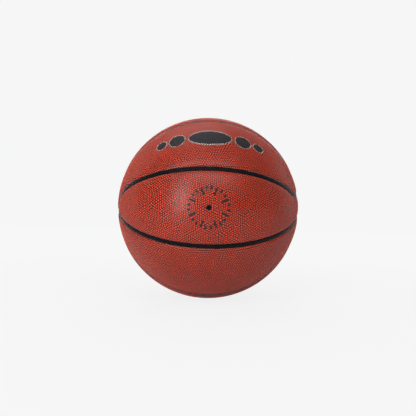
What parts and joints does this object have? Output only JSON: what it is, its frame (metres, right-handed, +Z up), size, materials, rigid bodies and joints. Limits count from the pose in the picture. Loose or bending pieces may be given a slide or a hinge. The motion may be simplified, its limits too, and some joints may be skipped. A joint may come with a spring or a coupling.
{
  "type": "basketball",
  "caption": "Pebbled composite-leather basketball with recessed black seams over a ribbed rubber carcass, wound bladder and push-in inflation valve.",
  "frame": {"origin": "centre of the ball", "axes": "-Y points out of the valve, +Z is up in the pictured pose, and the seams meet at two poles on X"},
  "size_m": [0.2316, 0.2319, 0.232],
  "materials": {
    "cover_leather": "satin",
    "pad_foam": "matte",
    "black_rubber": "matte",
    "nylon_thread": "matte",
    "butyl_rubber": "satin",
    "valve_rubber": "satin"
  },
  "bodies": {
    "ball": {"cover_panel_1": "cover_leather", "cover_panel_2": "cover_leather", "cover_panel_3": "cover_leather", "cover_panel_4": "cover_leather", "cover_panel_5": "cover_leather", "cover_panel_6": "cover_leather", "cover_panel_7": "cover_leather", "cover_panel_8": "cover_leather", "foam_pad_1": "pad_foam", "foam_pad_2": "pad_foam", "foam_pad_3": "pad_foam", "foam_pad_4": "pad_foam", "foam_pad_5": "pad_foam", "foam_pad_6": "pad_foam", "foam_pad_7": "pad_foam", "foam_pad_8": "pad_foam", "carcass": "black_rubber", "thread_winding": "nylon_thread", "bladder": "butyl_rubber", "valve_patch": "black_rubber", "valve_housing": "black_rubber"},
    "plug": {"valve_plug": "valve_rubber"}
  },
  "joints": [
    {"name": "valve_plug_pull", "type": "slide", "parent": "ball", "child": "plug", "axis": [0, -1, 0], "range_m": [0, 0.012]}
  ]
}
